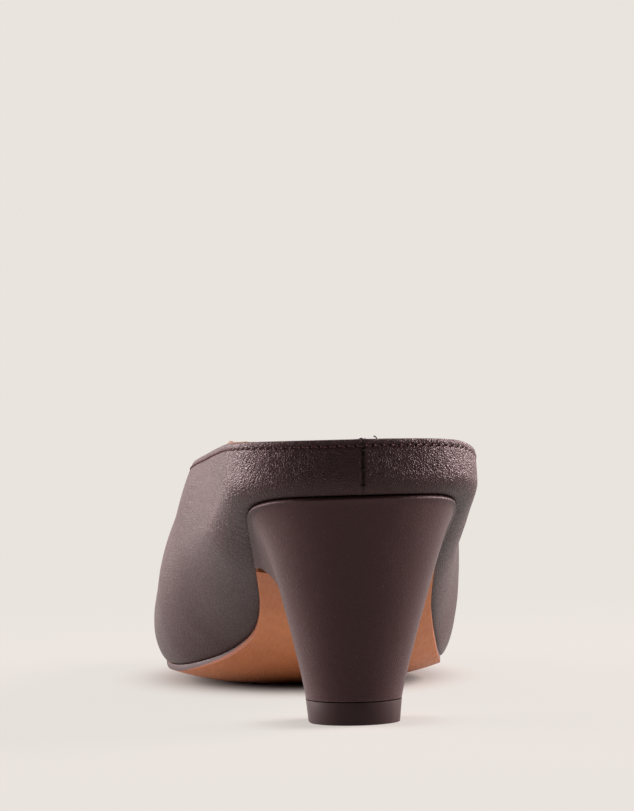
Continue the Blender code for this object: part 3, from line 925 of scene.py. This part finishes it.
def buildStitchTree():
    tree = bpy.data.node_groups.new("rowOfStitches", "GeometryNodeTree")
    face = tree.interface
    face.new_socket(name="Geometry", in_out="INPUT", socket_type="NodeSocketGeometry")
    for name, value in stitchLook.items():
        face.new_socket(name=name, in_out="INPUT", socket_type="NodeSocketFloat").default_value = value
    for name in stitchMaterials:
        face.new_socket(name=name, in_out="INPUT", socket_type="NodeSocketMaterial")
    face.new_socket(name="Geometry", in_out="OUTPUT", socket_type="NodeSocketGeometry")
    sizes, end = tree.nodes.new("NodeGroupInput").outputs, tree.nodes.new("NodeGroupOutput")

    def geometry(kind, **inputs):
        inputs = {key.replace("_", " "): value for key, value in inputs.items()}
        return addNode(tree, "GeometryNode" + kind, inputs).outputs[0]

    def vector(**parts):
        return addNode(tree, "ShaderNodeCombineXYZ", parts).outputs[0]

    path = geometry("MeshToCurve", Mesh=sizes["Geometry"])
    row = addNode(tree, "GeometryNodeResampleCurve", {"Curve": path, "Length": sizes["Spacing"]},
                  mode="LENGTH").outputs[0]
    outward = addNode(tree, "GeometryNodeInputNamedAttribute", {"Name": "outward"}, data_type="FLOAT_VECTOR")
    run = addNode(tree, "GeometryNodeInputTangent")
    turn = addNode(tree, "FunctionNodeAxesToRotation", {0: outward.outputs["Attribute"], 1: run.outputs[0]},
                   primary_axis="Z", secondary_axis="X").outputs[0]
    half = product(tree, sizes["Length"], 0.5)
    low = product(tree, sizes["Sink"], -1.0)
    arc = geometry("CurveQuadraticBezier", Resolution=6, End=vector(X=half, Z=low),
                   Start=vector(X=product(tree, half, -1.0), Z=low),
                   Middle=vector(Z=product(tree, sizes["Rise"], 2.0)))
    ring = geometry("CurvePrimitiveCircle", Resolution=6, Radius=product(tree, sizes["Thread"], 0.5))
    thread = geometry("CurveToMesh", Curve=arc, Profile_Curve=ring, Fill_Caps=True)
    thread = geometry("Transform", Geometry=thread, Rotation=vector(Z=sizes["Slant"]))
    # painted shade: a flat near-black disc beside each stitch stands for the shade in its needle hole
    holeShadeDisc = geometry("MeshIcoSphere", Radius=product(tree, sizes["Hole"], 0.5), Subdivisions=1)
    aside = vector(X=product(tree, sizes["Spacing"], 0.5))
    holeShadeDisc = geometry("Transform", Geometry=holeShadeDisc, Translation=aside, Scale=(0.85, 0.85, 0.25))
    joined = tree.nodes.new("GeometryNodeJoinGeometry")
    for shape, material in zip((thread, holeShadeDisc), stitchMaterials):
        real = geometry("RealizeInstances", Geometry=geometry("InstanceOnPoints", Points=row, Instance=shape,
                                                              Rotation=turn))
        tree.links.new(geometry("SetMaterial", Geometry=real, Material=sizes[material]), joined.inputs[0])
    tree.links.new(joined.outputs[0], end.inputs[0])
    return tree


def rowOnSheet(grid, distance, lift):
    # the sheet's points at a distance down from the rim, with the way out
    spots, outs = [], []
    mesh, _ = sheetMesh(grid["dressed"], grid["faces"])
    surface = BVHTree.FromBMesh(mesh)
    mesh.free()
    frames = loopFrames(grid["dressed"], grid["normals"], grid["rim"])
    for spot, (_, past) in zip(grid["rim"], frames):
        place, normal, _, _ = surface.find_nearest(grid["dressed"][spot] - past * distance)
        spots.append(place + normal * lift)
        outs.append(normal)
    return spots, outs


def makeStitches(name, spots, outs):
    mesh = bpy.data.meshes.new(name)
    mesh.from_pydata([tuple(s) for s in spots], list(pairsRound(list(range(len(spots))))), [])
    layer = mesh.attributes.new("outward", "FLOAT_VECTOR", "POINT")
    layer.data.foreach_set("vector", [c for out in outs for c in out])
    piece = intoScene(name, mesh)
    change = piece.modifiers.new("stitches", "NODES")
    change.node_group = buildStitchTree()
    for item in change.node_group.interface.items_tree:
        if item.name in stitchLook:
            change[item.identifier] = stitchLook[item.name]
        elif item.name in stitchMaterials:
            change[item.identifier] = materials[stitchMaterials[item.name]]
    applyModifiers(piece)
    return piece


toplineStitches = makeStitches("toplineStitches", *rowOnSheet(lastGrid, upperLook["channelDown"], 0.00002))
print("topline stitches made", len(toplineStitches.data.polygons))

# Back seam
seamLook = {
    "levels": (1.86, 1.70, 1.12, 0.62),  # places of the thread bars up the back, as levels of the last
    "halfWidth": (0.00095, 0.00075, 0.00080, 0.00085),
    "thread": 0.00048,
    "bow": 0.00020,  # how far a bar arches out, and how deep its ends lie
    "sunk": 0.00012,
    "knotUp": 0.00052,
    "knotStep": 0.00028,
    "knotRadius": 0.00026,
    "looseAt": -0.0036,
    "looseStep": 0.00022,
    "looseRadius": 0.00019,
}


def tubeFaces(verts, faces, path, radius, sides=6):
    rings = []
    for k, spot in enumerate(path):
        run = (path[min(k + 1, len(path) - 1)] - path[max(k - 1, 0)]).normalized()
        side = run.orthogonal().normalized()
        up = run.cross(side)
        ring = []
        for j in range(sides):
            turn = 2 * math.pi * j / sides
            ring.append(len(verts))
            verts.append(spot + (side * math.cos(turn) + up * math.sin(turn)) * radius)
        rings.append(ring)
    for a, b in zip(rings, rings[1:]):
        for j in range(sides):
            k = (j + 1) % sides
            faces.append((a[j], a[k], b[k], b[j]))
    faces.append(tuple(reversed(rings[0])))
    faces.append(tuple(rings[-1]))


def makeSeamThread():
    verts, faces = [], []
    column = LastColumn(0, 1, upperLook["rimDrop"])
    for level, half in zip(seamLook["levels"], seamLook["halfWidth"]):
        spot = column.point(level)
        path = []
        for k in range(7):
            t = k / 3 - 1
            out = seamLook["bow"] * (1 - t * t) - seamLook["sunk"]
            path.append(spot + Vector((-out, t * half, 0.00012 * math.sin(3 * t))))
        tubeFaces(verts, faces, path, seamLook["thread"] / 2)
    # the knot on the rim over the seam, and the loose end of the last stitch beside it
    top = column.point(2.0) + Vector((upperLook["leather"] / 2, 0, seamLook["knotUp"]))
    knot = [top + Vector((0, seamLook["knotStep"] * k, 0.00016 * math.sin(1.3 * k))) for k in range(-3, 4)]
    tubeFaces(verts, faces, knot, seamLook["knotRadius"])
    rear = [lastGrid["dressed"][k] for k in lastGrid["rim"] if lastGrid["dressed"][k].x < -0.01]
    spot = min(rear, key=lambda p: abs(p.y - seamLook["looseAt"])) + Vector((0.0005, 0, 0.0004))
    loose = [spot + Vector((0, 0.00012 * k * (k - 3), seamLook["looseStep"] * k)) for k in range(5)]
    tubeFaces(verts, faces, loose, seamLook["looseRadius"])
    piece = meshObject("seamThread", verts, faces)
    piece.data.materials.append(materials["darkThread"])
    return piece


seamThread = makeSeamThread()
print("back seam made")

# Insole
insoleLook = {"inset": 0.0021, "thickness": 0.002, "above": 0.0022, "crown": 0.0004, "edge": 0.0006}
soleLook = {
    "thickness": 0.003,
    "rim": 0.0017,
    "inset": 0.0003,
    "gap": 0.0003,
    "edgeRound": 0.0006,
    "bareTo": 0.128,  # the rim's paint thins from here back to the waist
    "bareRun": 0.045,
    "bareMost": 1.25,
    "paintHold": 0.9,  # and stays at the rim's top
}


def sheetUnderFoot(name, shares, inset, across, top, bottom, edgeRound):
    verts, faces, kinds = [], [], []
    grids = []
    for height in (top, bottom):
        grid = {}
        for i, share in enumerate(shares):
            inner, outer = movedIn(share, 1, inset), movedIn(share, -1, inset)
            for k in range(across + 1):
                if share >= 1 and k:
                    grid[i, k] = grid[i, 0]
                    continue
                t = (1 - math.cos(math.pi * k / across)) / 2 * 0.6 + k / across * 0.4  # closer at the sides
                spot = inner.lerp(outer, t)
                spot.z = height(spot.x, spot.y)
                grid[i, k] = len(verts)
                verts.append(spot)
        grids.append(grid)

    def face(corners, kind):
        kept = cornersOnce(corners)
        if len(kept) > 2:
            faces.append(kept)
            kinds.append(kind)

    above, below = grids
    last = len(shares) - 1
    for i in range(last):
        for k in range(across):
            corners = [(i, k), (i, k + 1), (i + 1, k + 1), (i + 1, k)]
            face([above[c] for c in corners], 0)
            face([below[c] for c in reversed(corners)], 0)
    rim = [(0, k) for k in range(across, 0, -1)] + [(i, 0) for i in range(last)]
    rim += [(last, 0)] + [(i, across) for i in range(last - 1, -1, -1)]
    for a, b in pairsRound(rim):
        face([above[a], above[b], below[b], below[a]], 1)
    piece = meshObject(name, verts, faces, kinds)
    roundEdges(piece, lambda edge: float({f.material_index for f in edge.link_faces} == {0, 1}), edgeRound, 3)
    return piece


def soleTop(x, y):
    return bottomHeight(x, y) - soleLook["gap"]


def soleBottom(x, y):
    out = acrossAt(x, y)[1]
    thinning = (soleLook["thickness"] - soleLook["rim"]) * out**4
    return max(0.0, soleTop(x, y) - soleLook["thickness"] + thinning)


def insoleBottom(x, y):
    return bottomHeight(x, y) + insoleLook["above"]


def insoleTop(x, y):
    out = acrossAt(x, y)[1]
    return insoleBottom(x, y) + insoleLook["thickness"] + insoleLook["crown"] * (1 - out**2)


def makeInsole():
    shares, _ = upperStations()
    shares = shares[4::2]
    shares[-1] = 1.0
    look = insoleLook
    piece = sheetUnderFoot("insoleSock", shares, look["inset"], 22, insoleTop, insoleBottom, look["edge"])
    piece.data.materials.append(materials["insoleCalf"])
    piece.data.materials.append(materials["insoleCalf"])
    paintValue(piece, "edge", lambda p: shareOf(acrossAt(p.x, p.y)[1], 0.90, 0.1))
    return piece


def rimBare(p):
    # how far the rim's paint is missing: at the waist, and low on the rim
    waist = min(max((soleLook["bareTo"] - p.x) / soleLook["bareRun"], 0.0), soleLook["bareMost"])
    up = shareOf(p.z - soleTop(p.x, p.y) + soleLook["rim"], 0, soleLook["rim"])
    return waist - soleLook["paintHold"] * up


def soleRub(p):
    return shareOf(acrossAt(p.x, p.y)[1], 0.955, 0.045) * shareOf(p.x, 0.09, 0.03)


def makeOutsole():
    first = lastSizes["breastShare"] + soleLook["gap"] / lastSizes["length"]
    shares = easedSteps(40, first, 1 - lastSizes["toeRound"])
    front = roundStations(lastSizes["toeRound"], lastSizes["toeSquare"], [90 - 5 * k for k in range(19)])
    shares += [1 - s for s in front][1:]
    piece = sheetUnderFoot("leatherSole", shares, soleLook["inset"], 26, soleTop, soleBottom,
                           soleLook["edgeRound"])
    piece.data.materials.append(materials["soleTan"])
    piece.data.materials.append(materials["soleEdge"])
    paintValue(piece, "edge", soleRub)
    paintValue(piece, "bare", rimBare)
    return piece


insole = makeInsole()
outsole = makeOutsole()
print("insole and sole made")

# Heel
heelLook = {
    "rim": 0.0010,
    "curve": 1.1,
    "flareIn": 0.42,
    "flareOut": 0.16,
    "flareSharpness": 12,
    "gap": 0.0003,
    "levels": 40,
    "corner": 0.0012,  # rounding of the breast's upright corners
    "footRound": 0.0003,
    "rubReach": 0.0012,
    "rubMost": 0.7,
}
liftLook = {
    "length": 0.0265,
    "width": 0.0256,
    "thickness": 0.0061,
    "taper": 0.0006,
    "narrowing": 0.12,
    "setback": 0.0116,
    "edge": 0.0004,
}


def heelShares():
    back = [0, 3, 6.5] + [10.5 + 4.675 * k for k in range(18)]
    shares = roundStations(lastSizes["heelRound"], lastSizes["heelSquare"], back)
    return shares + easedSteps(12, lastSizes["heelRound"], lastSizes["breastShare"])[1:]


def footOutline(inset):
    half = liftLook["width"] / 2 - inset
    length = liftLook["length"] - 2 * inset
    back = lastSizes["seatBack"] + liftLook["setback"] + inset
    roundPart = half / length
    spots = {}
    for side in (1, -1):
        for i, share in enumerate(heelShares()):
            run = share / lastSizes["breastShare"]
            if run < roundPart:
                wide = math.sqrt(max(0.0, 1 - (1 - run / roundPart) ** 2))
            else:
                forward = (run - roundPart) / (1 - roundPart)
                wide = 1 - liftLook["narrowing"] * forward**2
            spots[side, i] = Vector((back + run * length, side * half * wide, 0))
    return spots


def heelLevel(up, inset):
    foot = footOutline(0.0)
    low = liftLook["thickness"] + heelLook["gap"]
    shares = heelShares()
    ring = {}
    for (side, i), bottom in foot.items():
        share = shares[i]
        top = movedIn(share, side, inset)
        top.z = bottomHeight(top.x, top.y) - heelLook["gap"]
        flare = heelLook["flareIn"] if side > 0 else heelLook["flareOut"]
        flare *= share / lastSizes["breastShare"]
        spread = (1 - flare) * up ** heelLook["curve"] + flare * up ** heelLook["flareSharpness"]
        spot = bottom.lerp(top, spread)
        spot.z = low + (top.z - low) * up
        ring[side, i] = spot
    return ring


def loftRings(name, rings, cornerRound, levelRound):
    last = max(i for _, i in rings[0])
    order = [(1, i) for i in range(last, 0, -1)] + [(1, 0)] + [(-1, i) for i in range(1, last + 1)]
    verts, faces, made = [], [], []
    for ring in rings:
        row = {}
        for key in order:
            row[key] = len(verts)
            verts.append(ring[key])
        row[-1, 0] = row[1, 0]
        made.append(row)
    for low, high in zip(made, made[1:]):
        for a, b in pairsRound(order):
            faces.append((low[a], low[b], high[b], high[a]))
    for row in (made[0], made[-1]):
        for i in range(last):
            corners = [row[1, i], row[1, i + 1], row[-1, i + 1], row[-1, i]]
            faces.append(cornersOnce(corners))

    def weigh(edge):
        if len(edge.link_faces) < 2 or edge.calc_face_angle(0) <= math.radians(50):
            return 0.0
        upright = abs(edge.verts[0].co.z - edge.verts[1].co.z) > 0.4 * edge.calc_length()
        return 1.0 if upright else levelRound / cornerRound

    piece = meshObject(name, verts, faces)
    roundEdges(piece, weigh, cornerRound, 4)
    return piece


def makeHeel():
    count = heelLook["levels"]
    rings = [heelLevel(k / count, 0) for k in range(count)]
    for turn in (0, 15, 30, 45, 60, 75, 90):
        drop = heelLook["rim"] * (1 - math.sin(math.radians(turn)))
        ring = heelLevel(1, heelLook["rim"] * (1 - math.cos(math.radians(turn))))
        for spot in ring.values():
            spot.z -= drop
        rings.append(ring)
    piece = loftRings("coveredHeel", rings, heelLook["corner"], heelLook["footRound"])
    piece.data.materials.append(materials["heelNappa"])
    low = liftLook["thickness"] + heelLook["gap"]
    reach, most = heelLook["rubReach"], heelLook["rubMost"]
    paintValue(piece, "edge", lambda p: max(0.0, 1 - abs(p.z - low) / reach) * most)
    return piece


def makeLift():
    foot, top = footOutline(liftLook["taper"]), footOutline(0)
    middle = {}
    for key, spot in top.items():
        spot.z = liftLook["thickness"]
        middle[key] = foot[key].lerp(spot, 0.5)
    piece = loftRings("topPiece", [foot, middle, top], liftLook["edge"], liftLook["edge"] * 0.9)
    piece.data.materials.append(materials["liftRubber"])
    return piece


heel = makeHeel()
lift = makeLift()
print("heel and lift made")

# Which piece is what
for piece, node, slot in (
    (upper, "upper", "upper_leather"),
    (insole, "insole", "insole_leather"),
    (outsole, "outsole", "sole_leather"),
    (heel, "heel", "heel_cover"),
    (lift, "heel_lift", "lift_rubber"),
):
    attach(piece, "root")
    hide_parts(node)
for piece, slot in ((lining, "insole_leather"), (toplineStitches, None), (seamThread, None)):
    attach(piece, "root")
print("pieces ride on the body")

# Floor, light and camera
stageLook = {
    "pale": (0.815, 0.775, 0.730),
    "floorOwn": 0.92,  # share of the floor's brightness that is its own, near the shoe
    # where the shoe touches the floor, all of the floor's brightness is light that falls on it; there its
    # colour is darkened as painted shadow
    "paintedShadowSpots": [{"at": (0.140, -0.004), "reach": (0.045, 0.034), "least": 0.0},
                 {"at": (0.0, 0.0), "reach": (0.020, 0.020), "least": 0.65}],
    "floorAlbedo": 0.56,
    "contactShade": 0.5,
    "softboxTint": (1.0, 0.84, 0.85),
    "worldTurn": (-0.3, 0.95),  # the world brightens over these values of its own X
    "worldBehindCamera": 0.02,
    "worldAhead": 1.15,
    "centre": (0.08, 0, -0.0001),  # of the floor, just under the shoe's own
    "floorFar": (0.14, 0.42),  # distances from the centre over which the floor becomes all its own
    "contactFade": (0.7, 1.75),
    "lightsAim": (0.06, 0, 0.04),
}
lightLook = [
    {"name": "leftSoftbox", "at": (0.62, 1.15, 0.42), "size": (1.3, 0.8), "power": 46.0},
    {"name": "rightSoftbox", "at": (0.32, -1.20, 0.60), "size": (1.0, 0.8), "power": 66.0},
    {"name": "overhead", "at": (0.10, 0.0, 1.6), "size": (1.4, 1.4), "power": 6.0},
]
cameraLook = {
    "at": (-1.4594, 0.19465, 0.14475),
    "yaw": -7.2701,
    "down": 2.3087,
    "roll": 1.2,
    "lens": 243.03,
}


def makeFloor():
    rings, spokes = [0.0, 0.3, 0.6, 1.0, 2.0, 4.0, 8.0, 16.0, 40.0], 64
    centre = Vector(stageLook["centre"])
    verts, faces = [centre], []
    for radius in rings[1:]:
        for k in range(spokes):
            turn = 2 * math.pi * k / spokes
            verts.append(centre + radius * Vector((math.cos(turn), math.sin(turn), 0)))
    for k in range(spokes):
        faces.append((0, 1 + k, 1 + (k + 1) % spokes))
    for r in range(len(rings) - 2):
        for k in range(spokes):
            a, b = 1 + r * spokes + k, 1 + r * spokes + (k + 1) % spokes
            faces.append((a, a + spokes, b + spokes, b))
    floor = meshObject("paleFloor", verts, faces)
    material, tree, shader, place = newMaterial("paleFloor")
    tree.nodes.remove(shader)
    away = vectorMath(tree, "SUBTRACT", place, (centre.x, 0, 0))
    away = vectorMath(tree, "LENGTH", away)
    share = smoothRange(tree, away, *stageLook["floorFar"], stageLook["floorOwn"], 1.0)
    # painted contact shadow: near each spot the floor's own glow gives way and its lit colour darkens towards
    # shaded
    for spot in stageLook["paintedShadowSpots"]:
        away = vectorMath(tree, "SUBTRACT", place, (*spot["at"], 0))
        away = vectorMath(tree, "LENGTH", vectorMath(tree, "DIVIDE", away, (*spot["reach"], 1)))
        held = smoothRange(tree, away, *stageLook["contactFade"], spot["least"], 1.0)
        share = product(tree, share, held)
    pale = (*stageLook["pale"], 1.0)
    own = addNode(tree, "ShaderNodeEmission", {"Color": pale, "Strength": 1.0}).outputs[0]
    albedo = tuple(c * stageLook["floorAlbedo"] for c in stageLook["pale"])
    # the painted shadow's colour near the contact spots
    shaded = tuple(c * stageLook["contactShade"] for c in albedo)
    tint = mixColor(tree, smoothRange(tree, share, 0.0, stageLook["floorOwn"]), shaded, albedo)
    lit = addNode(tree, "ShaderNodeBsdfDiffuse", {"Color": tint}).outputs[0]
    mixed = addNode(tree, "ShaderNodeMixShader", {0: share, 1: lit, 2: own}).outputs[0]
    tree.links.new(mixed, tree.nodes["Material Output"].inputs["Surface"])
    floor.data.materials.append(material)


def makeWorld():
    world = bpy.data.worlds.new("studio")
    world.use_nodes = True
    bpy.context.scene.world = world
    tree = world.node_tree
    tree.nodes.clear()
    way = addNode(tree, "ShaderNodeTexCoord").outputs["Generated"]
    ahead = addNode(tree, "ShaderNodeSeparateXYZ", {0: way}).outputs["X"]
    level = smoothRange(tree, ahead, *stageLook["worldTurn"], stageLook["worldBehindCamera"],
                        stageLook["worldAhead"])
    pale = (*stageLook["pale"], 1.0)
    seen = addNode(tree, "ShaderNodeBackground", {"Color": pale, "Strength": 1.0}).outputs[0]
    tinted = [a * b for a, b in zip(stageLook["pale"], stageLook["softboxTint"])]
    lit = addNode(tree, "ShaderNodeBackground", {"Color": (*tinted, 1.0), "Strength": level}).outputs[0]
    direct = addNode(tree, "ShaderNodeLightPath").outputs["Is Camera Ray"]
    mixed = addNode(tree, "ShaderNodeMixShader", {0: direct, 1: lit, 2: seen}).outputs[0]
    end = tree.nodes.new("ShaderNodeOutputWorld")
    tree.links.new(mixed, end.inputs["Surface"])


def makeLights():
    for look in lightLook:
        data = bpy.data.lights.new(look["name"], "AREA")
        data.shape = "RECTANGLE"
        data.size, data.size_y = look["size"]
        data.energy = look["power"]
        data.color = stageLook["softboxTint"]
        light = intoScene(look["name"], data)
        light.location = look["at"]
        aim = Vector(stageLook["lightsAim"]) - light.location
        light.rotation_euler = aim.to_track_quat("-Z", "Y").to_euler()


def makeCamera():
    yaw, down, roll = (math.radians(cameraLook[name]) for name in ("yaw", "down", "roll"))
    forward = Vector((math.cos(yaw) * math.cos(down), math.sin(yaw) * math.cos(down), -math.sin(down)))
    right = forward.cross(Vector((0, 0, 1))).normalized()
    up = right.cross(forward)
    rolledRight = right * math.cos(roll) - up * math.sin(roll)
    rolledUp = right * math.sin(roll) + up * math.cos(roll)
    data = bpy.data.cameras.new("camera")
    data.lens = cameraLook["lens"]
    data.sensor_width = 36.0
    data.clip_start, data.clip_end = 0.05, 100.0
    camera = intoScene("camera", data)
    turn = Matrix((rolledRight, rolledUp, -forward)).transposed()
    camera.matrix_world = Matrix.Translation(cameraLook["at"]) @ turn.to_4x4()
    bpy.context.scene.camera = camera


makeFloor()
makeWorld()
makeLights()
makeCamera()
bpy.context.scene.view_settings.view_transform = "Standard"
print("stage made")
